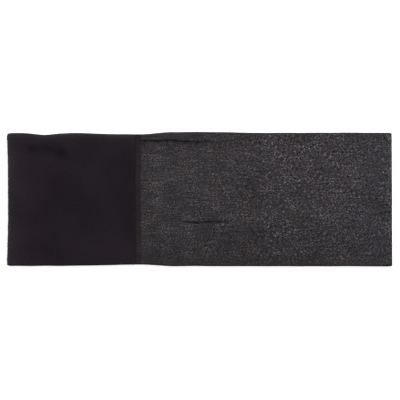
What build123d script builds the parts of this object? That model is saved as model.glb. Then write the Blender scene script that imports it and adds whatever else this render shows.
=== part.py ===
from build123d import *
import os

# A tubular neck warmer lying flat: a fleece section sewn to a longer knit tube.
# X runs along the tube, fleece at -X. Y is across it. Z is up, and the underside lies on Z = 0.
# Every cross-section is a flattened loop: two straight layers joined by round side folds.

# Lengths along the tube
fleece_length = 230.0
knit_length = 460.0
join_gap = 0.3  # the two cloths' ends stay this far apart, so that the fleece can fold up
hem_depth = 14.0
hem_flat = 8.0  # straight run beside the hem, before the sides pull in
join_flat = 14.0  # straight run of each cloth beside the join
knit_taper = 34.0  # the knit widens over this run from the join to its full width

# Widths across the flattened tube
fleece_width = 238.0
knit_width = 240.0
join_width = 233.0

# Heights
fleece_thickness = 1.4
hem_thickness = 2.2  # two pressed plies of fleece
knit_thickness = 0.8
fleece_hollow = 5.2  # space between the fleece's upper and lower layer
knit_hollow = 4.4  # the same in the knit

# Stitching
thread_depth = 0.3  # stitches sink this far into the cloth
needle_row_width = 0.9
join_first_row = 0.8  # from the knit's end to the first row's near edge
join_row_pitch = 9.0  # between the two rows of the join
hem_looper_width = 2.5
back_seam_width = 6.0  # outer edges of the two rows that close the fleece panel
back_seam_clearance = 0.5  # rows end this far from the hem's and the join's stitches

# Care label, caught at the join and lying inside the fleece, on its lower layer
label_length = 45.0
label_width = 30.0
label_thickness = 0.4

# Places that follow from the sizes
start_x = -(fleece_length + join_gap + knit_length) / 2
hem_end_x = start_x + hem_depth
fleece_end_x = start_x + fleece_length
knit_start_x = fleece_end_x + join_gap
end_x = knit_start_x + knit_length
fleece_top = fleece_hollow + 2 * fleece_thickness
knit_top = knit_hollow + 2 * knit_thickness
hem_top = fleece_top - fleece_thickness + hem_thickness  # the hem's upper ply lies on the cloth's line
first_row_x = knit_start_x + join_first_row
second_row_x = first_row_x + join_row_pitch
hem_row_x = hem_end_x - 2 * needle_row_width
back_seam_start_x = hem_end_x + hem_looper_width + back_seam_clearance
back_seam_length = fleece_end_x - back_seam_clearance - back_seam_start_x

os.makedirs("parts", exist_ok=True)


def loop_section(x, width, low, high, wall):
    """Cross-section at x of a flattened loop of cloth or thread: its outline with its hollow."""
    with BuildSketch(Plane.YZ.offset(x)) as section:
        with Locations((0, (low + high) / 2)):
            SlotOverall(width, high - low)
            SlotOverall(width - 2 * wall, high - low - 2 * wall, mode=Mode.SUBTRACT)
    return section.sketch


def loop_run(x, length, width, low, high, wall, mode=Mode.ADD):
    """Straight run of a flattened loop, from x towards +X."""
    extrude(loop_section(x, width, low, high, wall), amount=length, dir=(1, 0, 0), mode=mode)


def loop_taper(x, length, width, end_width, low, high, wall):
    """Run of a flattened loop whose width changes."""
    loft([loop_section(x, width, low, high, wall), loop_section(x + length, end_width, low, high, wall)])


# Fleece section: hem, straight run, taper to the join, straight run
with BuildPart() as fleece_tube:
    fleece_taper_x = hem_end_x + hem_flat
    fleece_taper = fleece_end_x - join_flat - fleece_taper_x
    loop_run(start_x, hem_depth, fleece_width, 0, hem_top, hem_thickness)
    loop_run(hem_end_x, hem_flat, fleece_width, 0, fleece_top, fleece_thickness)
    loop_taper(fleece_taper_x, fleece_taper, fleece_width, join_width, 0, fleece_top, fleece_thickness)
    loop_run(fleece_end_x - join_flat, join_flat, join_width, 0, fleece_top, fleece_thickness)
    # Furrows that the stitches lie in, round the hem and along the underside
    loop_run(hem_row_x, needle_row_width, fleece_width, 0, hem_top, thread_depth, Mode.SUBTRACT)
    with BuildSketch(Plane.XY):
        with Locations(
            (back_seam_start_x, (back_seam_width - needle_row_width) / 2),
            (back_seam_start_x, -(back_seam_width - needle_row_width) / 2),
        ):
            Rectangle(back_seam_length, needle_row_width, align=(Align.MIN, Align.CENTER))
    extrude(amount=thread_depth, mode=Mode.SUBTRACT)
fleece_tube.part.label = "fleece_tube"
export_step(fleece_tube.part, "parts/fleece_tube.step")

# Knit tube: straight run at the join, taper to its full width, long straight run to the free mouth
with BuildPart() as knit_tube:
    knit_taper_x = knit_start_x + join_flat
    knit_straight_x = knit_taper_x + knit_taper
    loop_run(knit_start_x, join_flat, join_width, 0, knit_top, knit_thickness)
    loop_taper(knit_taper_x, knit_taper, join_width, knit_width, 0, knit_top, knit_thickness)
    loop_run(knit_straight_x, end_x - knit_straight_x, knit_width, 0, knit_top, knit_thickness)
    # Furrows of the join's two rows
    for row_x in (first_row_x, second_row_x):
        loop_run(row_x, needle_row_width, join_width, 0, knit_top, thread_depth, Mode.SUBTRACT)
knit_tube.part.label = "knit_tube"
export_step(knit_tube.part, "parts/knit_tube.step")

# Join: two needle threads round the outside of the knit's edge
with BuildPart() as join_needle_thread_left:
    loop_run(first_row_x, needle_row_width, join_width, 0, knit_top, thread_depth)
join_needle_thread_left.part.label = "join_needle_thread_left"
export_step(join_needle_thread_left.part, "parts/join_needle_thread_left.step")

with BuildPart() as join_needle_thread_right:
    loop_run(second_row_x, needle_row_width, join_width, 0, knit_top, thread_depth)
join_needle_thread_right.part.label = "join_needle_thread_right"
export_step(join_needle_thread_right.part, "parts/join_needle_thread_right.step")

# Join: the looper thread lies on the inside of the knit, between and under the two rows
with BuildPart() as join_looper_thread:
    loop_run(
        first_row_x,
        join_row_pitch + needle_row_width,
        join_width - 2 * knit_thickness,
        knit_thickness,
        knit_top - knit_thickness,
        thread_depth,
    )
join_looper_thread.part.label = "join_looper_thread"
export_step(join_looper_thread.part, "parts/join_looper_thread.step")

# Hem: one needle thread outside
with BuildPart() as hem_needle_thread:
    loop_run(hem_row_x, needle_row_width, fleece_width, 0, hem_top, thread_depth)
hem_needle_thread.part.label = "hem_needle_thread"
export_step(hem_needle_thread.part, "parts/hem_needle_thread.step")

# Hem: looper thread inside, over the turned-in cloth's raw edge
with BuildPart() as hem_looper_thread:
    loop_run(
        hem_end_x,
        hem_looper_width,
        fleece_width - 2 * fleece_thickness,
        fleece_thickness,
        fleece_top - fleece_thickness,
        thread_depth,
    )
hem_looper_thread.part.label = "hem_looper_thread"
export_step(hem_looper_thread.part, "parts/hem_looper_thread.step")

# Back seam: two needle threads along the middle of the underside
with BuildPart() as back_seam_needle_threads:
    with BuildSketch(Plane.XY):
        with Locations(
            (back_seam_start_x, (back_seam_width - needle_row_width) / 2),
            (back_seam_start_x, -(back_seam_width - needle_row_width) / 2),
        ):
            Rectangle(back_seam_length, needle_row_width, align=(Align.MIN, Align.CENTER))
    extrude(amount=thread_depth)
back_seam_needle_threads.part.label = "back_seam_needle_threads"
export_step(back_seam_needle_threads.part, "parts/back_seam_needle_threads.step")

# Back seam: looper thread on the inside, over the panel's two meeting edges
with BuildPart() as back_seam_looper_thread:
    with BuildSketch(Plane.XY.offset(fleece_thickness)):
        with Locations((back_seam_start_x, 0)):
            Rectangle(back_seam_length, back_seam_width, align=(Align.MIN, Align.CENTER))
    extrude(amount=thread_depth)
back_seam_looper_thread.part.label = "back_seam_looper_thread"
export_step(back_seam_looper_thread.part, "parts/back_seam_looper_thread.step")

# Care label: a blank tape that starts at the join and lies on the back seam's looper thread
with BuildPart() as care_label:
    with BuildSketch(Plane.XY.offset(fleece_thickness + thread_depth)):
        with Locations((fleece_end_x, 0)):
            Rectangle(label_length, label_width, align=(Align.MAX, Align.CENTER))
    extrude(amount=label_thickness)
care_label.part.label = "care_label"
export_step(care_label.part, "parts/care_label.step")
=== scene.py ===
import math

import bpy
import numpy as np
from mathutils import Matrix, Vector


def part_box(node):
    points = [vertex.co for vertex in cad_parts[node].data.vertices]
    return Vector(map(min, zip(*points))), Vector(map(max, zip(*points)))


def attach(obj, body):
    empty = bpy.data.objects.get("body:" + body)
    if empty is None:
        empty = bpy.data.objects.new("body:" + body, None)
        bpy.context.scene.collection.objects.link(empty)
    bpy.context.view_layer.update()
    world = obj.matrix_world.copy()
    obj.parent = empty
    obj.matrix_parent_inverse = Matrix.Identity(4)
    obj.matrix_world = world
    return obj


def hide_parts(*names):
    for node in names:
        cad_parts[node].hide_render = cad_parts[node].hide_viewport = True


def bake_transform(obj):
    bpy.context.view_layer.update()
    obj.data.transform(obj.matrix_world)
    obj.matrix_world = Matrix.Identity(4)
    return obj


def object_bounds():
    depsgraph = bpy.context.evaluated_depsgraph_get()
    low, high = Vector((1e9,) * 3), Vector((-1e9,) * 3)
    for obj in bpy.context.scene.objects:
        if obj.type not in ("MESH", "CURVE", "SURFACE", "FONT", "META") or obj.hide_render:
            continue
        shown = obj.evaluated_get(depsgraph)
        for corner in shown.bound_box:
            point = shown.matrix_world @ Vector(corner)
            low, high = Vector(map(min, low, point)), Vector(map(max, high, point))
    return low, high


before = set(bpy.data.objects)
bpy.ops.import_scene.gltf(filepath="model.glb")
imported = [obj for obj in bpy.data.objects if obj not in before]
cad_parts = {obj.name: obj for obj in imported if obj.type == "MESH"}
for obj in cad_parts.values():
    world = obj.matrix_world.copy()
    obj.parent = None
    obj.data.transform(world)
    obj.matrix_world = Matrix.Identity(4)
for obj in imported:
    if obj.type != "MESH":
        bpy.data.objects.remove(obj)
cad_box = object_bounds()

# ---------------------------------------------------------------- sizes, in metres
MM = 0.001
KNIT_LOW, KNIT_HIGH = (np.array(corner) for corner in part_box("knit_tube"))
FLEECE_LOW, FLEECE_HIGH = (np.array(corner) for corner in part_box("fleece_tube"))
START_X, FLEECE_END_X = FLEECE_LOW[0], FLEECE_HIGH[0]
KNIT_START_X, END_X = KNIT_LOW[0], KNIT_HIGH[0]
FLEECE_HALF = FLEECE_HIGH[1]
KNIT_HALF = KNIT_HIGH[1]
LABEL_LOW, LABEL_HIGH = (np.array(corner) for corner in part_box("care_label"))
NEEDLE_ROW_HALF = 0.45 * MM  # half the width that a needle row takes in the CAD
ROW_LEFT_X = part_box("join_needle_thread_left")[0][0] + NEEDLE_ROW_HALF
ROW_RIGHT_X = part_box("join_needle_thread_right")[0][0] + NEEDLE_ROW_HALF
HEM_ROW_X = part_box("hem_needle_thread")[0][0] + NEEDLE_ROW_HALF
HEM_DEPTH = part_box("hem_looper_thread")[0][0] - START_X
WAIST_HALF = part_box("join_needle_thread_left")[1][1]

KNIT_CLOTH = 0.8 * MM
FLEECE_CLOTH = 1.5 * MM
HEM_CLOTH = 2.4 * MM
KNIT_FOLD = 2.7 * MM  # radius of the knit's side folds
FLEECE_FOLD = 3.25 * MM
TUCK = 1.6 * MM  # the knit's edge goes this far under the fleece's edge

THREAD = 0.22 * MM  # radius of the sewing thread
JOIN_STITCH = 2.6 * MM  # lengths of one stitch
HEM_STITCH = 3.0 * MM
BACK_STITCH = 2.8 * MM
HEM_LOOPER_REACH = 1.8 * MM  # the hem's looper thread goes this far past the turned-in edge
BACK_LOOPER_HALF = 2.6 * MM
HEM_SINK = 0.9  # the hem's stitches sink this share of their radius into the pile

PICTURE_SHARE = 0.96675  # the share of the picture's width that the tube fills
PICTURE_SHIFT = (1.24 * MM, -1.1 * MM)  # from the tube's centre to the picture's centre
FLOOR_HALF = 60.0
FLOOR_HEIGHT = -0.4 * MM  # the stitches under the cloth rest on it


# ---------------------------------------------------------------- small maths
def smooth(t):
    """0 up to t = 0, 1 from t = 1 on, and an S-shaped rise between them."""
    t = np.clip(t, 0, 1)
    return t * t * (3 - 2 * t)


def ease_out(t):
    """0 at t = 0, rising fast at first and level from t = 1 on."""
    return 1 - (1 - np.clip(t, 0, 1)) ** 2


def near(value, place, reach):
    """1 where the value, in metres, is at the place, and near 0 two reaches away. The others are in mm."""
    t = (value - place * MM) / (reach * MM)
    return np.exp(-t * t)


def past(value, place, run):
    """0 before the place and 1 after the run that starts there. The value is in metres, the others in mm."""
    return smooth((value - place * MM) / (run * MM))


def fading(distance, reach):
    """1 at no distance, falling off over the reach, in mm."""
    return np.exp(-distance / (reach * MM))


def waves(u, v, seed, length_u, length_v, count=9):
    """A smooth random surface of about -1 to 1, with features of the two lengths."""
    draw = np.random.default_rng(seed)
    total = np.zeros(np.broadcast(u, v).shape)
    for _ in range(count):
        turn, phase = draw.uniform(0, 2 * math.pi, 2)
        scale = draw.uniform(0.7, 1.5)
        total = total + np.sin(
            scale * 2 * math.pi * (u / length_u * math.cos(turn) + v / length_v * math.sin(turn)) + phase
        )
    return total * math.sqrt(2 / count) / 2


def waves_along(x, seed, length):
    return waves(x, 0 * x, seed, length, 1)


def waves_across(y, seed, length):
    return waves(0 * y, y, seed, 1, length)


def graded(start, end, coarse, fine, reach, places):
    """Numbers from start to end: fine apart within reach of the places, and coarse apart far from them."""
    at = np.linspace(start, end, 4000)
    away = np.min(np.abs(at[:, None] - np.array(places)), axis=1)
    step = fine + (coarse - fine) * smooth((away - reach) / (2 * reach))
    count = np.append(0, np.cumsum(np.diff(at) / (step[1:] + step[:-1]) * 2))
    return np.interp(np.linspace(0, count[-1], round(count[-1]) + 1), count, at)


# ---------------------------------------------------------------- the flattened tubes
class Tube:
    """A flattened loop of cloth along X. q runs once round it: underside middle, +Y fold, top, -Y fold, back.

    Subclasses give, at a place on it: edges (Y of both side folds), radius (of the side folds), thickness,
    top and under (how far the two layers stand up), rise (of both layers), shift (along X) and marks."""

    def __init__(self, half, radius):
        """half is half the flat width, and radius that of the side folds in the length once round."""
        self.flat, fold = half - radius, math.pi * radius
        self.round = 4 * self.flat + 2 * fold
        # q at which the +Y fold, the upper layer, the -Y fold and the second half of the lower layer start
        self.starts = np.cumsum([self.flat, fold, 2 * self.flat, fold]) / self.round

    def middle(self, x, q):
        """Point of the outer surface."""
        low, high = self.edges(x)
        radius = self.radius(x)
        centre, flat = (low + high) / 2, (high - low) / 2 - radius
        plus_fold, upper, minus_fold, lower = self.starts
        plus_turn = math.pi * (q - plus_fold) / (upper - plus_fold)
        minus_turn = math.pi * (q - minus_fold) / (lower - minus_fold)
        stretches = [q < plus_fold, q < upper, q < minus_fold, q < lower]
        across = np.select(
            stretches,
            [
                flat * q / plus_fold,
                flat + radius * np.sin(plus_turn),
                flat * (1 - 2 * (q - upper) / (minus_fold - upper)),
                -flat - radius * np.sin(minus_turn),
            ],
            -flat * (1 - q) / (1 - lower),
        )
        up = np.select(
            stretches,
            [0 * q, radius - radius * np.cos(plus_turn), 2 * radius, radius + radius * np.cos(minus_turn)],
            0,
        )
        y = centre + across
        inwards = flat - np.abs(across)
        up = np.where(self.is_upper(q), up + self.top(x, y, inwards), up)
        is_lower = (q < plus_fold) | (q >= lower)
        up = np.where(is_lower, up + self.under(x, y, inwards), up) + self.rise(x, y)
        return np.stack([x + self.shift(x, y, up), y, up], -1)

    def is_upper(self, q):
        return (q >= self.starts[1]) & (q < self.starts[2])

    def frame_at(self, x, q):
        """Outer point and outward normal."""
        step = 0.3 * MM
        point = self.middle(x, q)
        along = self.middle(x + step, q) - self.middle(x - step, q)
        dq = step / self.round
        around = self.middle(x, (q + dq) % 1) - self.middle(x, (q - dq) % 1)
        normal = np.cross(around, along)
        return point, normal / np.linalg.norm(normal, axis=-1, keepdims=True)

    def columns(self, coarse, fine, crease_ys=()):
        """Values of q round the loop, closer together on the folds and at creases of the upper layer."""
        plus_fold, upper, minus_fold, lower = self.starts * self.round
        folds = [(plus_fold + upper) / 2, (minus_fold + lower) / 2]
        creases = [upper + (self.flat - y) for y in crease_ys]
        return graded(0, self.round, coarse, fine, 7 * MM, folds + creases)[:-1] / self.round


class Fleece(Tube):
    def edges(self, x):
        from_mouth = x - START_X
        narrow = FLEECE_HALF - WAIST_HALF
        half = FLEECE_HALF - (narrow - 0.4 * MM) * past(from_mouth, 120, 90)
        dip = 3.2 * MM * near(from_mouth, 68, 22)
        sag = 0.5 * MM * near(from_mouth, 35, 25) + 0.5 * MM * near(from_mouth, 195, 30)
        ripple = 0.3 * MM * waves_along(x, 61, 0.07)
        corner = 1.4 * MM * near(from_mouth, 0, 4)
        return -half - sag + corner + ripple, half - dip - corner + ripple

    def radius(self, x):
        shoulder = np.sqrt(ease_out((FLEECE_END_X - x) / (5 * MM)))
        hem = smooth((START_X + HEM_DEPTH + 3 * MM - x) / (6 * MM))
        slack = 0.25 * waves_along(x, 62, 0.10) * shoulder
        return (2.6 + 0.65 * shoulder + 0.25 * hem + slack) * MM

    def thickness(self, x):
        hem = smooth((START_X + HEM_DEPTH + 0.8 * MM - x) / (1.6 * MM))
        return FLEECE_CLOTH + (HEM_CLOTH - FLEECE_CLOTH) * hem

    def top(self, x, y, inwards):
        from_mouth, to_seam = x - START_X, FLEECE_END_X - x
        within = past(inwards, 0, 10)
        shoulder = 0.9 * MM * ease_out(inwards / (15 * MM))
        end_slope = -1.4 * MM * np.clip(1 - from_mouth / (32 * MM), 0, 1) ** 2 * within
        hem_ridge = 0.15 * MM * smooth((HEM_DEPTH + 1 * MM - from_mouth) / (3 * MM)) * within
        wide = 1.0 * MM * waves(x, y, 3, 0.13, 0.10) * past(inwards, 0, 25)
        row = -0.25 * MM * near(x - HEM_ROW_X, 0, 1.6)
        gather = 0.2 * MM * waves_across(y, 5, 0.02) * near(to_seam, 0, 14)
        dents = -1.6 * MM * self.dents(x, y)
        lip = 0.9 * MM * self.lip_wave(y) * near(from_mouth, 0, 28) * within
        body = (shoulder + end_slope + hem_ridge + wide + dents + lip) * past(to_seam, 0, 4)
        return body + (row + gather) * past(inwards, 0, 4)

    def lip_wave(self, y):
        return waves_across(y, 66, 0.11)

    def dents(self, x, y):
        """Where the upper layer is dented in, from 0 to about 1."""
        from_mouth = x - START_X
        along = past(from_mouth, 24, 18) * (1 - past(from_mouth, 92, 22))
        soft = 0.8 + 0.25 * waves(x, y, 72, 0.03, 0.02)
        long_dent = along * soft * near(y, 89, 9.5)
        side_dent = near(from_mouth, 97, 14) * near(y, 78, 11)
        return long_dent + 0.9 * side_dent

    def under(self, x, y, inwards):
        from_mouth = x - START_X
        lift = 0.3 * MM * (1 + waves(x, y, 11, 0.15, 0.11)) * past(from_mouth, 0, 20)
        lip = 0.8 * MM * np.clip(self.lip_wave(y), 0, 1) * near(from_mouth, 0, 24)
        return (lift + lip) * past(inwards, 0, 20) * past(FLEECE_END_X - x, 0, 20)

    def rise(self, x, y):
        """The corners of the mouth stand a little off the table."""
        return 0.6 * MM * near(x - START_X, 0, 25) * near(FLEECE_HALF - np.abs(y), 0, 30)

    def shift(self, x, y, z):
        """The mouth bows inwards with a finely scalloped rim, and the edge at the join is uneven."""
        from_mouth = x - START_X
        bow = 1.8 * MM * (1 - (y / FLEECE_HALF) ** 2)
        scallop = 0.45 * MM * waves(y, z, 21, 0.0075, 0.02)
        uneven = 0.6 * MM * waves(y, z, 67, 0.05, 0.02) * near(FLEECE_END_X - x, 0, 4)
        whole_mouth = near(from_mouth, 0, 18) * (bow + 0.7 * MM)
        return whole_mouth + near(from_mouth, 0, 3) * (scallop + 0.5 * MM) + uneven

    def marks(self, x, q, point):
        """Shares that the finish shows: painted shade in the dents, in a darker patch near the middle, on the
        -Y fold and along the join; a painted highlight at the mouth, along the +Y fold and in lighter areas;
        and a greyer fold.
        """
        from_mouth, y = x - START_X, point[..., 1]
        low, high = self.edges(x)
        # Painted highlight: broad lighter areas, and a lighter band along the -Y edge.
        lighter_areas = 0.09 * near(from_mouth, 195, 45) * near(y, -88, 32)
        lighter_areas = lighter_areas + 0.05 * near(from_mouth, 60, 35) * near(y, 45, 25)
        lighter_areas = lighter_areas + 0.13 * fading(np.abs(y - low), 16)
        # Painted shade: a darker patch near the middle.
        fleece_painted_shade = 0.3 * near(from_mouth, 200, 25) * near(y, 2, 32)
        # Painted highlight at the mouth and along the +Y fold, where the light catches the pile.
        mouth_share = 0.77 * fading(from_mouth, 3.5) + 0.29 * fading(from_mouth, 33)
        fold_share = 0.67 * fading(high - y, 4.5)
        # Painted shade on the -Y fold, which is turned away from the light, and along the fleece's edge at
        # the join.
        low_fold = 1.2 * near(y - low, 0, 1.9)
        sewn_edge = 0.9 * near(FLEECE_END_X - x, 0, 1.3)
        return {
            # Painted shade in the dents of the upper layer, as well as the patch, the -Y fold and the join
            # edge.
            "fleece_painted_shade": np.where(self.is_upper(q), self.dents(x, y) + fleece_painted_shade, 0) + low_fold + sewn_edge,
            "painted_highlight": np.clip(mouth_share + fold_share + lighter_areas, 0, 1),
            "greyed": near(high - y, 0, 17),
        }


class Knit(Tube):
    def edges(self, x):
        from_seam = x - KNIT_START_X
        run = past(from_seam, 8, 62)
        waist = WAIST_HALF + 0.3 * MM - 1.0 * MM * self.tuck(x)
        half = waist + (KNIT_HALF + 0.5 * MM - waist) * run
        corner = 0.9 * MM * near(x - END_X, 0, 3)
        ripple = 0.25 * MM * waves_along(x, 63, 0.06) * run
        high = half + 0.4 * MM * run - corner - 1.2 * MM * past(from_seam, 150, 60)
        low = -half + corner + (0.5 * MM + 0.3 * MM * (1 - past(from_seam, 230, 120))) * run
        return low + ripple, high + ripple

    def tuck(self, x):
        """1 at the edge under the fleece, 0 where the knit shows."""
        return 1 - smooth((x - KNIT_START_X + TUCK) / (TUCK + 0.8 * MM))

    def rise(self, x, y):
        """The edge under the fleece rests in it, and the mouth's corners stand a little off the table."""
        corners = 1.2 * MM * near(KNIT_HALF - y, 0, 30) + 2.0 * MM * near(KNIT_HALF + y, 0, 40)
        return 0.7 * MM * self.tuck(x) + corners * near(END_X - x, 0, 32)

    def radius(self, x):
        past_band = past(x - KNIT_START_X, 9, 22)
        slack = 0.3 * waves_along(x, 64, 0.09) * past_band
        return (2.4 + 0.3 * past_band - 0.6 * self.tuck(x) + slack) * MM

    def thickness(self, x):
        return KNIT_CLOTH + 0 * x

    def top(self, x, y, inwards):
        from_seam, to_mouth = x - KNIT_START_X, END_X - x
        free = past(from_seam, 8, 26)
        loose = past(from_seam, 190, 90)
        sunk = -(0.8 + 0.8 * loose) * MM * past(inwards, 0, 28) * free
        wide = (0.8 + 0.8 * loose) * MM * waves(x, y, 31, 0.12, 0.085) * past(inwards, 0, 22) * free
        ribs = 0.12 * MM * waves(x, y, 37, 0.20, 0.015) * past(inwards, 0, 8) * free
        arch = (1.0 + 2.3 * waves_across(y, 65, 0.15)) * MM * past(inwards, 0, 30)
        curl = 1.1 * MM * near(to_mouth, 0, 4.5) * past(inwards, 0, 10)
        gape = arch * near(to_mouth, 0, 42) + curl
        rows = -0.25 * MM * (near(x - ROW_LEFT_X, 0, 0.7) + near(x - ROW_RIGHT_X, 0, 1.0))
        puckers = 0.4 * MM * waves(from_seam, y, 41, 0.04, 0.012) * near(from_seam, 8, 8)
        sewn = (rows + puckers) * past(inwards, 0, 4) * past(from_seam, 0, 2)
        strip, groove = self.creases(x, y)
        return sunk + wide + ribs + gape + 0.7 * MM * strip - 1.2 * MM * groove + sewn

    def crease_lines(self, x):
        """Y of the crease along the +Y edge and of the one near the middle."""
        from_seam = x - KNIT_START_X
        wander = 0.9 * MM * np.sin(from_seam / (13 * MM)) + 0.5 * MM * np.sin(from_seam / (5.5 * MM))
        edge_line = KNIT_HALF - 14.3 * MM - 0.024 * from_seam - wander
        middle_line = -0.345 * KNIT_HALF - 0.9 * MM * np.sin((from_seam - 90 * MM) / (11 * MM))
        return edge_line, middle_line

    def creases(self, x, y):
        """The strip that stands up along the +Y edge, and the grooves of both creases, from 0 to about 1."""
        from_seam = x - KNIT_START_X
        edge_line, middle_line = self.crease_lines(x)
        reach = past(from_seam, 3, 10) * (1 - past(from_seam, 100, 70))
        strip = smooth((y - edge_line) / (2.5 * MM) + 0.5) * reach
        below = edge_line - y
        deeper = np.clip(1.05 + 0.35 * waves_along(x, 68, 0.016), 0.85, 1.4)
        groove = np.where(below > 0, fading(below, 6.5), near(below, 0, 2.0)) * reach * deeper
        there = past(from_seam, 82, 14) * (1 - past(from_seam, 160, 18))
        middle = near(y - middle_line, 0, 2.1) * there * deeper
        return strip, groove + middle

    def under(self, x, y, inwards):
        lift = 0.3 * MM * (1 + waves(x, y, 43, 0.14, 0.1)) * past(inwards, 0, 20)
        return lift * past(x - KNIT_START_X, 0, 20) * past(END_X - x, 0, 20)

    def shift(self, x, y, z):
        """The mouth's edge is uneven and slants a little."""
        slant = 0.5 * MM * (1 + y / KNIT_HALF)
        return -near(END_X - x, 0, 25) * (slant + 0.2 * MM * waves(y, z, 47, 0.03, 0.02))

    def marks(self, x, q, point):
        """Shares that the finish shows: painted shade in the creases, on the -Y fold, along the join and on
        the -Y side, a painted highlight at the mouth, and places with few flecks.
        """
        from_seam, y = x - KNIT_START_X, point[..., 1]
        low, high = self.edges(x)
        upper = self.is_upper(q)
        strip, groove = self.creases(x, y)
        edges_plain = 0.6 * near(y - low, 0, 14) + 0.5 * near(high - y, 0, 7)
        waist_plain = 0.8 * near(from_seam, 18, 14) * near(y, -98, 16)
        mouth_plain = 0.4 * near(END_X - x, 34, 12)
        strip_plain = np.where(upper, 0.45 * strip, 0)
        # Painted shade: dark marks at puckers, and dark lines along the join and the right needle row.
        notches = np.clip(waves(from_seam, y, 70, 0.03, 0.017) - 0.7, 0, 1) * near(from_seam, 7, 5)
        seam_shade_line = near(from_seam, -0.1, 1.6) * (0.85 + 0.35 * waves_across(y, 71, 0.04))
        seam_shade_line = seam_shade_line + 0.25 * near(x - ROW_RIGHT_X, 0, 1.1) + 0.8 * notches
        # Painted shade on the -Y fold, which is turned away from the light.
        low_fold = 0.95 * near(y - low, 0, 1.9)
        band_end = 10.3 * MM + 1.3 * MM * waves_across(y, 69, 0.05) - 0.8 * MM * past(y, 40, 40)
        in_band = 1 - smooth((from_seam - band_end) / (2.4 * MM) + 0.5)
        # Painted shade: darker toward the -Y side, where less light falls.
        low_shade_along = past(from_seam, 10, 60) * (1 - 0.4 * past(from_seam, 280, 100))
        return {
            # Painted shade in the creases' grooves, on the -Y fold and along the join.
            "knit_painted_shade": np.where(upper, groove, 0) + low_fold + seam_shade_line,
            "plain": np.clip(strip_plain + edges_plain + waist_plain + mouth_plain, 0, 1),
            "strip": np.where(upper, strip, 0),
            "band": in_band * (1 - 0.2 * near(y, -88, 24)),
            "painted_low_side_shade": past(-y, 25, 60) * low_shade_along,
            # Painted highlight along the knit's mouth edge.
            "painted_highlight": near(END_X - x, 0, 5),
        }


# ---------------------------------------------------------------- meshes
def new_object(name, points, faces, uv=None, girth=0):
    """A smooth-shaded piece in the scene. uv is given per point, and girth is the length once round in it."""
    mesh = bpy.data.meshes.new(name)
    mesh.from_pydata(points.tolist(), [], [tuple(map(int, f)) for f in faces])
    mesh.validate()
    mesh.polygons.foreach_set("use_smooth", [True] * len(mesh.polygons))
    if uv is not None:
        layer = mesh.uv_layers.new(name="cloth")
        loops = np.empty(len(mesh.loops), int)
        mesh.loops.foreach_get("vertex_index", loops)
        corners = uv[loops].reshape(-1, 4, 2)
        across = corners[..., 1]
        closing = np.ptp(across, axis=1, keepdims=True) > girth / 2  # faces that close the loop
        across[closing & (across < girth / 2)] += girth
        layer.data.foreach_set("uv", corners.astype(np.float32).ravel())
    mesh.update()
    piece = bpy.data.objects.new(name, mesh)
    bpy.context.scene.collection.objects.link(piece)
    return piece


def quads(first, second):
    """Faces between two closed rings of vertex numbers."""
    return np.stack([first, np.roll(first, -1), np.roll(second, -1), second], -1)


def shell(name, tube, xs, qs, skip):
    """A closed thin shell: outer surface, rounded rims at both mouths, and the inner surface, which has one
    row of points for each skip rows outside."""
    x, q = np.meshgrid(xs, qs, indexing="ij")
    outer, normal = tube.frame_at(x, q)
    depth = tube.thickness(x)[..., None]
    rim_turns = np.linspace(0, math.pi, 7)[1:-1]  # the first and the last lie on the two surfaces

    def rim(row, sign):
        """Rings that round the cloth's cut or folded edge, from outside to inside."""
        half = depth[row] / 2
        centre = outer[row] - normal[row] * half
        out = np.array([sign, 0.0, 0.0])
        return [centre + normal[row] * half * math.cos(t) + out * half * math.sin(t) for t in rim_turns]

    inner_rows = np.append(np.arange(0, len(xs) - 1, skip), len(xs) - 1)[::-1]
    inner = outer - normal * depth
    loops = list(outer) + rim(-1, 1.0) + list(inner[inner_rows]) + rim(0, -1.0)[::-1]
    turns = len(rim_turns)
    along = np.concatenate([xs, np.full(turns, xs[-1]), xs[inner_rows], np.full(turns, xs[0])])
    girth_points = len(qs)
    numbers = np.arange(len(loops) * girth_points).reshape(len(loops), girth_points)
    faces = np.concatenate([quads(numbers[i], numbers[(i + 1) % len(loops)]) for i in range(len(loops))])
    uv = np.stack([np.repeat(along, girth_points), np.tile(qs * tube.round, len(loops))], -1)
    piece = new_object(name, np.concatenate(loops), faces, uv, tube.round)
    for share_name, shares in tube.marks(x, q, outer).items():
        values = np.zeros((len(loops), girth_points), np.float32)
        values[: len(xs)] = shares
        values[len(xs) : len(xs) + turns] = shares[-1]
        values[-turns:] = shares[0]
        attribute = piece.data.attributes.new(share_name, "FLOAT", "POINT")
        attribute.data.foreach_set("value", values.ravel())
    return piece


def thread_mesh(name, paths, sides=6):
    """Tubes of thread along the given paths, rounded off at both ends."""
    points, faces, total = [], [], 0
    turns = np.arange(sides) * 2 * math.pi / sides
    for path, up in paths:
        path, up = np.asarray(path), np.asarray(up)
        ahead = np.gradient(path, axis=0)
        ahead /= np.linalg.norm(ahead, axis=1, keepdims=True)
        side = np.cross(ahead, up)
        side /= np.linalg.norm(side, axis=1, keepdims=True)
        lift = np.cross(side, ahead)
        count = len(path)
        radius = THREAD * np.sqrt(np.clip(1 - np.linspace(-0.96, 0.96, count) ** 8, 0.05, 1))
        outwards = np.cos(turns)[None, :, None] * side[:, None] + np.sin(turns)[None, :, None] * lift[:, None]
        ring = path[:, None] + radius[:, None, None] * outwards
        numbers = total + np.arange(count * sides).reshape(count, sides)
        for i in range(count - 1):
            faces += quads(numbers[i], numbers[i + 1]).tolist()
        faces += [numbers[0][::-1].tolist(), numbers[-1].tolist()]
        points.append(ring.reshape(-1, 3))
        total += count * sides
    return new_object(name, np.concatenate(points), faces)


# Height of a stitch over the cloth, in thread radii, from hole to hole
STITCH_ARC = np.array([-1.3, 0.25, 0.85, 1.0, 1.0, 0.85, 0.25, -1.3])


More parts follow.
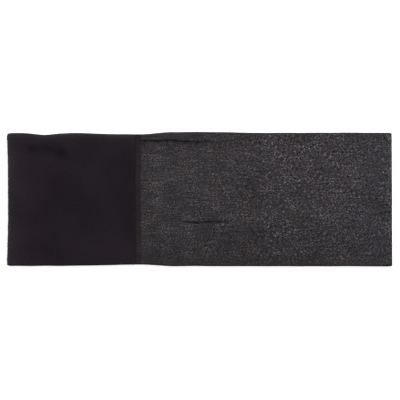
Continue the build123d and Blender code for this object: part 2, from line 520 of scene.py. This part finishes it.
def stitches(tube, xs, qs, sink=0.0):
    """Paths of needle stitches between neighbouring holes given by xs and qs."""
    paths = []
    share = np.linspace(0.04, 0.96, len(STITCH_ARC))
    for x0, q0, x1, q1 in zip(xs[:-1], qs[:-1], xs[1:], qs[1:]):
        x, q = x0 + (x1 - x0) * share, (q0 + (q1 - q0) * share) % 1
        point, normal = tube.frame_at(x, q)
        paths.append((point + normal * THREAD * (STITCH_ARC[:, None] - sink), normal))
    return paths


def row_around(tube, x, stitch, sink=0.0):
    """Paths of one needle row, once round the tube at x."""
    count = round(tube.round / stitch)
    return stitches(tube, np.full(count + 1, x), np.linspace(0, 1, count + 1), sink)


# ---------------------------------------------------------------- materials
# Noise scales are in features to a metre, and colours are linear red, green and blue
FLECK_BASE = 46.0  # how much lighter a fleck is than the yarn beside it, at full strength
KNIT_SHADOW = (0.008, 0.0072, 0.008)  # painted shade colour for the creases, the fold turned from the light and the join line
FLEECE_SHADOW = (0.004, 0.003, 0.004)


def shader(name):
    """A new material, its node tree and its Principled shader."""
    material = bpy.data.materials.new(name)
    material.use_nodes = True
    return material, material.node_tree, material.node_tree.nodes["Principled BSDF"]


def node(tree, kind, **values):
    """A new node with values for its inputs and settings, by name."""
    made = tree.nodes.new(kind)
    for key, value in values.items():
        if key in made.inputs:
            made.inputs[key].default_value = value
        else:
            setattr(made, key, value)
    return made


def cloth_space(tree, lengthen=1.0, turn=0.0):
    """The cloth's own coordinates in metres, lengthened along a direction turned from the tube's length."""
    uv = node(tree, "ShaderNodeUVMap", uv_map="cloth")
    mapping = node(tree, "ShaderNodeMapping", vector_type="TEXTURE")
    mapping.inputs["Rotation"].default_value = (0, 0, turn)
    mapping.inputs["Scale"].default_value = (lengthen, 1, 1)
    tree.links.new(uv.outputs["UV"], mapping.inputs["Vector"])
    return mapping.outputs["Vector"]


def noise(tree, vector, scale, detail=2.0, roughness=0.5):
    """A cloudy pattern from 0 to 1, with about scale clouds to a metre."""
    made = node(tree, "ShaderNodeTexNoise", Scale=scale, Detail=detail, Roughness=roughness)
    made.noise_dimensions = "2D"
    tree.links.new(vector, made.inputs["Vector"])
    return made.outputs["Fac"]


def ramp(tree, value, stops):
    """Colour that follows a value. stops are (value, colour) pairs, and a number is a grey."""
    made = node(tree, "ShaderNodeValToRGB")
    elements = made.color_ramp.elements
    while len(elements) < len(stops):
        elements.new(0.5)
    for element, (place, colour) in zip(elements, stops):
        element.position = place
        element.color = (*colour, 1) if hasattr(colour, "__len__") else (colour, colour, colour, 1)
    tree.links.new(value, made.inputs["Fac"])
    return made.outputs["Color"]


def maths(tree, kind, *values, clamp=False):
    """Result of an operation on values that are numbers or sockets."""
    made = node(tree, "ShaderNodeMath", operation=kind, use_clamp=clamp)
    for socket, value in zip(made.inputs, values):
        if isinstance(value, (int, float)):
            socket.default_value = value
        else:
            tree.links.new(value, socket)
    return made.outputs["Value"]


def line(tree, value, slope, start):
    """start + slope * value"""
    return maths(tree, "MULTIPLY_ADD", value, slope, start)


def mix_colour(tree, kind, share, first, second):
    """Mix of two colours, each a tuple or a socket. share is a number or a socket."""
    made = node(tree, "ShaderNodeMix", data_type="RGBA", blend_type=kind)
    sockets = made.inputs[0], made.inputs[6], made.inputs[7]  # where the node takes a share and two colours
    for socket, value in zip(sockets, (share, first, second)):
        if isinstance(value, (int, float)):
            socket.default_value = value
        elif isinstance(value, tuple):
            socket.default_value = (*value, 1)
        else:
            tree.links.new(value, socket)
    return made.outputs[2]


def place_along(tree, low, high):
    """0 before low and 1 after high, for X along the cloth in metres."""
    uv = node(tree, "ShaderNodeUVMap", uv_map="cloth")
    split = node(tree, "ShaderNodeSeparateXYZ")
    tree.links.new(uv.outputs["UV"], split.inputs["Vector"])
    share = node(tree, "ShaderNodeMapRange", interpolation_type="SMOOTHSTEP")
    share.inputs["From Min"].default_value = low
    share.inputs["From Max"].default_value = high
    tree.links.new(split.outputs["X"], share.inputs["Value"])
    return share.outputs["Result"]


def add_bump(tree, bsdf, height, distance, strength):
    """Fine relief on a shader, from a pattern of heights."""
    made = node(tree, "ShaderNodeBump", Strength=strength, Distance=distance)
    tree.links.new(height, made.inputs["Height"])
    tree.links.new(made.outputs["Normal"], bsdf.inputs["Normal"])


def dry(bsdf, roughness, specular, sheen, sheen_tint):
    """Settings of a dry fibre surface that are the same all over."""
    bsdf.inputs["Roughness"].default_value = roughness
    bsdf.inputs["Specular IOR Level"].default_value = specular
    bsdf.inputs["Sheen Weight"].default_value = sheen
    bsdf.inputs["Sheen Roughness"].default_value = 0.45
    bsdf.inputs["Sheen Tint"].default_value = (*sheen_tint, 1)


def mark(tree, name):
    """One of the shares that the mesh carries at each point."""
    return node(tree, "ShaderNodeAttribute", attribute_name=name).outputs["Fac"]


def weighted(tree, *terms):
    """Sum of weight * (value - 0.5), for (value, weight) pairs, where a weight is a number or a socket."""
    total = None
    for value, weight in terms:
        term = maths(tree, "MULTIPLY", maths(tree, "SUBTRACT", value, 0.5), weight)
        total = term if total is None else maths(tree, "ADD", total, term)
    return total


def times(tree, colour, factor):
    """The colour multiplied by a number or a colour from a socket."""
    return mix_colour(tree, "MULTIPLY", 1.0, colour, factor)


def past_seam(tree, low, high):
    """0 before low and 1 after high, in mm from the join along the knit."""
    return place_along(tree, KNIT_START_X + low * MM, KNIT_START_X + high * MM)


def knit_flecks(tree):
    """The heathering: the relief of its short fibres, and the strength of its flecks, bright or dark."""
    grain = noise(tree, cloth_space(tree), 700, 2.0, 0.6)
    streak = noise(tree, cloth_space(tree, 20.0), 620, 1.0, 0.5)
    rising = noise(tree, cloth_space(tree, 3.0, 0.7), 560, 1.0, 0.5)
    falling = noise(tree, cloth_space(tree, 3.0, -0.7), 560, 1.0, 0.5)
    wale = node(tree, "ShaderNodeTexWave", bands_direction="Y", Scale=120.0, Distortion=1.2, Detail=1.0)
    tree.links.new(cloth_space(tree), wale.inputs["Vector"])

    # From the join to the right, the flecks turn from fine level ones to slanting ones
    to_right = past_seam(tree, 40, 270)
    fine = line(tree, to_right, -0.7, 1.85)
    slanting = line(tree, to_right, 0.48, 0.35)
    level = line(tree, to_right, -0.15, 0.42)
    loops = (wale.outputs["Fac"], 0.06)
    fibres = weighted(tree, (grain, fine), (rising, slanting), (falling, slanting), loops)
    rows = weighted(tree, (streak, level))

    patch = noise(tree, cloth_space(tree, 1.3), 45, 2.0, 0.5)
    patchy = ramp(tree, patch, [(0.3, 0.8), (0.7, 1.18)])
    many = line(tree, mark(tree, "plain"), -0.75, 1.0)
    past_band = line(tree, mark(tree, "band"), -0.68, 1.0)
    strength = maths(tree, "MULTIPLY", maths(tree, "MULTIPLY", many, patchy), past_band)
    return fibres, maths(tree, "MULTIPLY", maths(tree, "ADD", fibres, rows), strength)


def knit_shade(tree):
    """Exponent of the soft, wide changes in brightness."""
    cloud = noise(tree, cloth_space(tree, 1.6), 28, 2.0, 0.5)
    patch = noise(tree, cloth_space(tree, 1.3), 45, 2.0, 0.5)
    clouds = weighted(tree, (cloud, 0.45), (patch, 0.3))
    # Random clouds, and a painted light gradient: lighter from 150 to 320 mm past the join.
    return maths(tree, "ADD", clouds, maths(tree, "MULTIPLY", past_seam(tree, 150, 320), 0.09))


def knit_yarn(tree):
    """Colour of the dark yarn, which is bluer near the mouth."""
    spots = noise(tree, cloth_space(tree), 40, 3.0, 0.7)
    blue = maths(tree, "ADD", spots, maths(tree, "MULTIPLY", past_seam(tree, 370, 415), 0.22))
    return ramp(tree, blue, [(0.25, (0.0276, 0.0236, 0.0250)), (0.85, (0.0252, 0.0239, 0.0276))])


def knit_material():
    material, tree, bsdf = shader("heathered_knit")
    fibres, flecks = knit_flecks(tree)
    contrast = maths(tree, "POWER", FLECK_BASE, flecks)
    shade = maths(tree, "POWER", math.e, knit_shade(tree))
    colour = times(tree, knit_yarn(tree), maths(tree, "MULTIPLY", contrast, shade))
    for factor in (
        ramp(tree, mark(tree, "band"), [(0.0, 1.0), (1.0, (0.68, 0.60, 0.65))]),
        # Painted highlight along the mouth's edge.
        line(tree, mark(tree, "painted_highlight"), 0.42, 1.0),
        # Painted shade, darker toward the -Y side.
        line(tree, mark(tree, "painted_low_side_shade"), -0.13, 1.0),
        line(tree, mark(tree, "strip"), -0.07, 1.0),
    ):
        colour = times(tree, colour, factor)
    # Painted shade: creases, the -Y fold and the join darken toward KNIT_SHADOW.
    shade_share = maths(tree, "MULTIPLY", mark(tree, "knit_painted_shade"), 0.75, clamp=True)
    tree.links.new(mix_colour(tree, "MIX", shade_share, colour, KNIT_SHADOW), bsdf.inputs["Base Color"])
    add_bump(tree, bsdf, fibres, 0.4 * MM, 0.4)
    dry(bsdf, roughness=0.85, specular=0.06, sheen=0.06, sheen_tint=(0.5, 0.5, 0.52))
    return material


def fleece_material():
    material, tree, bsdf = shader("black_microfleece")
    pile = noise(tree, cloth_space(tree), 420, 4.0, 0.65)
    patches = noise(tree, cloth_space(tree), 14, 2.0, 0.4)
    mouth_side = place_along(tree, START_X + 40 * MM, START_X + 170 * MM)
    colour = ramp(tree, patches, [(0.3, (0.0122, 0.0090, 0.0121)), (0.7, (0.0149, 0.0113, 0.0144))])
    for factor in (
        ramp(tree, pile, [(0.3, 0.75), (0.7, 1.25)]),
        ramp(tree, mark(tree, "greyed"), [(0.0, 1.0), (1.0, (0.97, 1.10, 0.94))]),
        ramp(tree, mouth_side, [(0.0, (0.99, 0.965, 1.035)), (1.0, 1.0)]),
        # Painted highlight: up to 3.6 times lighter at the mouth, the +Y fold and the lighter areas.
        line(tree, mark(tree, "painted_highlight"), 2.6, 1.0),
    ):
        colour = times(tree, colour, factor)
    # Painted shade: the fleece darkens toward FLEECE_SHADOW in dents, on the -Y fold and at the join.
    fleece_painted_shade = maths(tree, "MULTIPLY", mark(tree, "fleece_painted_shade"), 0.45, clamp=True)
    tree.links.new(mix_colour(tree, "MIX", fleece_painted_shade, colour, FLEECE_SHADOW), bsdf.inputs["Base Color"])
    add_bump(tree, bsdf, pile, 0.7 * MM, 0.7)
    dry(bsdf, roughness=1.0, specular=0.04, sheen=0.08, sheen_tint=(0.4, 0.36, 0.4))
    return material


def ribbed_material(name, ribs, dark, light, relief):
    """A material whose fine structure is one pattern of ribs, given as settings of a wave texture."""
    material, tree, bsdf = shader(name)
    where = node(tree, "ShaderNodeTexCoord")
    pattern = node(tree, "ShaderNodeTexWave", **ribs)
    tree.links.new(where.outputs["Object"], pattern.inputs["Vector"])
    colours = ramp(tree, pattern.outputs["Fac"], [(0.2, dark), (0.8, light)])
    tree.links.new(colours, bsdf.inputs["Base Color"])
    add_bump(tree, bsdf, pattern.outputs["Fac"], relief, 0.4)
    return material, bsdf


def thread_material():
    twist = {"Scale": 900.0, "Distortion": 1.5}
    dark, light = (0.008, 0.007, 0.008), (0.020, 0.018, 0.020)
    material, bsdf = ribbed_material("black_thread", twist, dark, light, 0.1 * MM)
    dry(bsdf, roughness=0.6, specular=0.2, sheen=0.1, sheen_tint=(0.5, 0.5, 0.5))
    return material


def label_material():
    weave = {"Scale": 1400.0, "Distortion": 0.6, "bands_direction": "Y"}
    dark, light = (0.030, 0.030, 0.033), (0.05, 0.05, 0.054)
    material, bsdf = ribbed_material("blank_satin_tape", weave, dark, light, 0.06 * MM)
    dry(bsdf, roughness=0.4, specular=0.4, sheen=0.0, sheen_tint=(1, 1, 1))
    return material


def floor_material():
    material, tree, bsdf = shader("pale_floor")
    bsdf.inputs["Base Color"].default_value = (0.9, 0.9, 0.9, 1)
    bsdf.inputs["Roughness"].default_value = 0.9
    bsdf.inputs["Specular IOR Level"].default_value = 0.1
    bsdf.inputs["Emission Color"].default_value = (1, 1, 1, 1)
    bsdf.inputs["Emission Strength"].default_value = 0.55  # a softly lit table, so that it stays white
    return material


# ---------------------------------------------------------------- camera, light and floor
def place_camera():
    """Straight above the tube, which fills most of the picture's width."""
    low, high = (np.array(corner) for corner in cad_box)
    centre = (low + high) / 2
    camera = bpy.data.objects.new("camera", bpy.data.cameras.new("camera"))
    camera.data.lens = 100
    view_width = (high[0] - low[0]) / PICTURE_SHARE
    distance = view_width * camera.data.lens / camera.data.sensor_width
    camera.location = (centre[0] + PICTURE_SHIFT[0], centre[1] + PICTURE_SHIFT[1], high[2] + distance)
    bpy.context.scene.collection.objects.link(camera)
    bpy.context.scene.camera = camera


def lay_floor():
    corners = [(-1, -1), (1, -1), (1, 1), (-1, 1)]
    points = np.array([(x * FLOOR_HALF, y * FLOOR_HALF, FLOOR_HEIGHT) for x, y in corners])
    floor = new_object("floor", points, [(0, 1, 2, 3)])
    floor.data.materials.append(floor_material())


def light_room():
    """A white room that is brighter near the horizon than overhead."""
    world = bpy.data.worlds.new("soft_room")
    world.use_nodes = True
    tree = world.node_tree
    background = tree.nodes["Background"]
    background.inputs["Color"].default_value = (1, 1, 1, 1)
    where = node(tree, "ShaderNodeTexCoord")
    split = node(tree, "ShaderNodeSeparateXYZ")
    tree.links.new(where.outputs["Generated"], split.inputs["Vector"])
    brightness = node(tree, "ShaderNodeMapRange", interpolation_type="SMOOTHSTEP")
    for name, value in {"From Min": 0.0, "From Max": 0.25, "To Min": 1.0, "To Max": 0.6}.items():
        brightness.inputs[name].default_value = value
    tree.links.new(split.outputs["Z"], brightness.inputs["Value"])
    tree.links.new(brightness.outputs["Result"], background.inputs["Strength"])
    bpy.context.scene.world = world


def softbox(name, place, size, power):
    """A square soft light at the place, turned towards the object."""
    light = bpy.data.objects.new(name, bpy.data.lights.new(name, "AREA"))
    light.data.shape = "SQUARE"
    light.data.size = size
    light.data.energy = power
    light.location = place
    light.rotation_mode = "QUATERNION"
    light.rotation_quaternion = (-light.location.normalized()).to_track_quat("-Z", "Y")
    bpy.context.scene.collection.objects.link(light)


place_camera()
lay_floor()
light_room()
softbox("key_softbox", place=(0.55, 1.25, 0.85), size=0.9, power=29)
bpy.context.scene.view_settings.view_transform = "Standard"
bpy.context.scene.view_settings.look = "None"

# ---------------------------------------------------------------- the cloth
fleece_surface = Fleece(FLEECE_HALF, FLEECE_FOLD)
fleece_xs = graded(
    START_X + HEM_CLOTH / 2,
    FLEECE_END_X - FLEECE_CLOTH / 2,
    coarse=2.4 * MM,
    fine=0.8 * MM,
    reach=5 * MM,
    places=[START_X, HEM_ROW_X, FLEECE_END_X],
)
fleece_qs = fleece_surface.columns(2.4 * MM, 0.9 * MM)
fleece = shell("fleece_section", fleece_surface, fleece_xs, fleece_qs, skip=2)

knit_surface = Knit(KNIT_HALF, KNIT_FOLD)
knit_xs = graded(
    KNIT_START_X - TUCK,
    END_X - KNIT_CLOTH / 2,
    coarse=2.5 * MM,
    fine=0.6 * MM,
    reach=4 * MM,
    places=[KNIT_START_X, ROW_RIGHT_X, END_X],
)
crease_ys = [np.mean(line_y) for line_y in knit_surface.crease_lines(knit_xs)]
knit_qs = knit_surface.columns(2.6 * MM, 0.8 * MM, crease_ys)
knit = shell("knit_section", knit_surface, knit_xs, knit_qs, skip=3)

# ---------------------------------------------------------------- the stitching
ZIGZAG_STEPS = 6  # points in one turn of a looper thread


def inside_thread(tube, x, q):
    """Path of a thread that lies on the inside of the cloth."""
    point, normal = tube.frame_at(x, q % 1)
    depth = (tube.thickness(x) + 0.6 * THREAD)[:, None]
    return [(point - normal * depth, normal)]


def looper_around(tube, x_low, x_high, stitch):
    """Looper thread of a seam round the tube: a zigzag between two rows, with crossings that slant back."""
    count = round(tube.round / stitch)
    phase = np.arange(count * ZIGZAG_STEPS) / ZIGZAG_STEPS
    x = (x_low + x_high) / 2 + (x_high - x_low) / 2 * np.cos(phase * 2 * math.pi) ** 3
    q = phase / count + 0.25 / count * np.sin(phase * 4 * math.pi)
    return inside_thread(tube, x, q)


def looper_along(tube, xs, half):
    """Looper thread of the seam along the underside: a zigzag to half on both sides of its middle."""
    phase = np.arange((len(xs) - 1) * ZIGZAG_STEPS) / ZIGZAG_STEPS
    y = half * np.cos(phase * 2 * math.pi) ** 3
    return inside_thread(tube, xs[0] + phase * BACK_STITCH, y / tube.round)


join_left = thread_mesh("join_stitches_left", row_around(knit_surface, ROW_LEFT_X, JOIN_STITCH))
join_right = thread_mesh("join_stitches_right", row_around(knit_surface, ROW_RIGHT_X, JOIN_STITCH))
hem_row = thread_mesh("hem_stitches", row_around(fleece_surface, HEM_ROW_X, HEM_STITCH, HEM_SINK))

join_looper = thread_mesh("join_looper", looper_around(knit_surface, ROW_LEFT_X, ROW_RIGHT_X, JOIN_STITCH))
hem_looper_end = START_X + HEM_DEPTH + HEM_LOOPER_REACH
hem_looper = thread_mesh("hem_looper", looper_around(fleece_surface, HEM_ROW_X, hem_looper_end, HEM_STITCH))

back_low, back_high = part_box("back_seam_needle_threads")
back_xs = np.arange(back_low[0], back_high[0], BACK_STITCH)
back_paths = []
for row_y in (back_low[1] + NEEDLE_ROW_HALF, back_high[1] - NEEDLE_ROW_HALF):
    back_paths += stitches(fleece_surface, back_xs, np.full(len(back_xs), row_y / fleece_surface.round))
back_rows = thread_mesh("back_seam_stitches", back_paths)
back_looper = thread_mesh("back_seam_looper", looper_along(fleece_surface, back_xs, BACK_LOOPER_HALF))


# ---------------------------------------------------------------- the label
def tape(low, high, thickness=0.35 * MM, rows=26, columns=15):
    """A blank tape from corner to corner of a box, with a soft curl at its free end, low X."""
    u, v = np.meshgrid(np.linspace(0, 1, rows), np.linspace(0, 1, columns), indexing="ij")
    x = low[0] + u * (high[0] - low[0])
    y = low[1] + v * (high[1] - low[1])
    z = low[2] + 0.5 * MM + 0.8 * MM * (1 - u) ** 2 + 0.12 * MM * np.sin(v * 7 + u * 3)
    top = np.stack([x, y, z + thickness], -1).reshape(-1, 3)
    under = np.stack([x, y, z], -1).reshape(-1, 3)
    numbers = np.arange(rows * columns).reshape(rows, columns)
    up = np.stack([numbers[:-1, :-1], numbers[1:, :-1], numbers[1:, 1:], numbers[:-1, 1:]], -1).reshape(-1, 4)
    down = up[:, ::-1] + numbers.size
    edge = np.concatenate([numbers[:, 0], numbers[-1, 1:], numbers[-2::-1, -1], numbers[0, -2:0:-1]])
    after = np.roll(edge, -1)
    sides = np.stack([after, edge, edge + numbers.size, after + numbers.size], -1)
    return new_object("care_tape", np.concatenate([top, under]), np.concatenate([up, down, sides]))


label = tape(LABEL_LOW, LABEL_HIGH)

# ---------------------------------------------------------------- finishes, and hiding the CAD parts that the pieces stand for
knit.data.materials.append(knit_material())
fleece.data.materials.append(fleece_material())
sewing_thread = thread_material()
for row in (join_left, join_right, hem_row, join_looper, hem_looper, back_rows, back_looper):
    row.data.materials.append(sewing_thread)
label.data.materials.append(label_material())

for piece, stands_for in (
    (knit, "knit_tube"),
    (fleece, "fleece_tube"),
    (join_left, "join_needle_thread_left"),
    (join_right, "join_needle_thread_right"),
    (join_looper, "join_looper_thread"),
    (hem_row, "hem_needle_thread"),
    (hem_looper, "hem_looper_thread"),
    (back_rows, "back_seam_needle_threads"),
    (back_looper, "back_seam_looper_thread"),
    (label, "care_label"),
):
    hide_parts(stands_for)

for piece in (knit, join_left, join_right, join_looper):
    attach(piece, "knit_section")
for piece in (hem_row, hem_looper):
    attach(piece, "fleece_section")
for piece in (fleece, back_rows, back_looper, label):
    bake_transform(piece)
